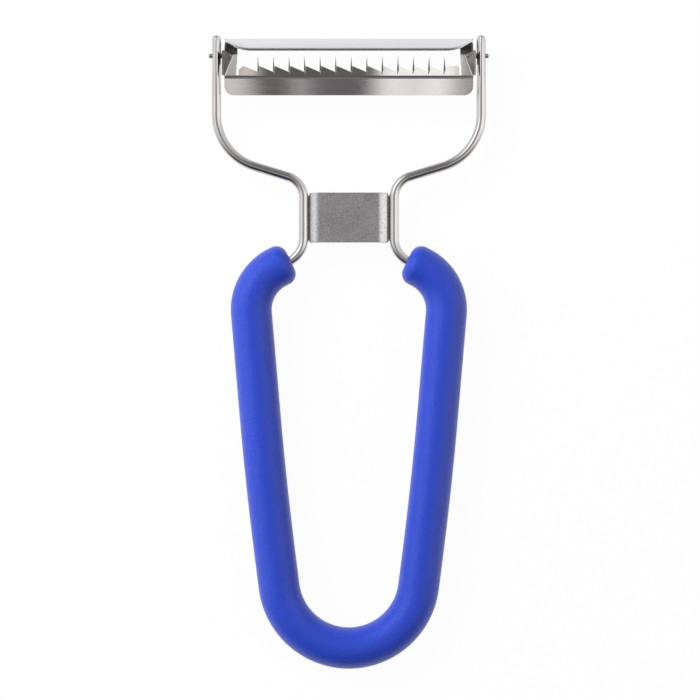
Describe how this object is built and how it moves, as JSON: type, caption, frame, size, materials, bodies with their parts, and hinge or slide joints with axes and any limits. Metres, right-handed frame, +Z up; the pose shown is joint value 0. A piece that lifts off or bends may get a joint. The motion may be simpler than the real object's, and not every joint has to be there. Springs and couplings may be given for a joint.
{
  "type": "julienne peeler",
  "caption": "Y-shaped julienne peeler: bent wire frame with a sleeve grip on its loop, a bridge plate in its neck, and a toothed cutting head that swivels on pins between its arms.",
  "frame": {"origin": "on the table under the middle of the peeler's length and width, as it lies on its back", "axes": "+X across the arms, +Y from the loop of the handle towards the head, +Z up from the table"},
  "size_m": [0.0736, 0.1664, 0.0108],
  "materials": {
    "wire_steel": "satin polished wire",
    "plate_steel": "fine matte grain",
    "blue_grip": "satin with a fine grain",
    "blade_steel": "smooth satin with a ground edge",
    "comb_steel": "polished sheet",
    "pin_steel": "turned"
  },
  "bodies": {
    "handle": {"wire_frame": "wire_steel", "bridge_plate": "plate_steel", "grip_sleeve": "blue_grip"},
    "head": {"cutter_blade": "blade_steel", "julienne_comb": "comb_steel", "pivot_pin_left": "pin_steel", "pivot_pin_right": "pin_steel"}
  },
  "joints": [
    {"name": "head_swivel", "type": "hinge", "parent": "handle", "child": "head", "pos_m": [0, 0.07793, 0.00541], "axis": [1, 0, 0], "continuous": true}
  ]
}
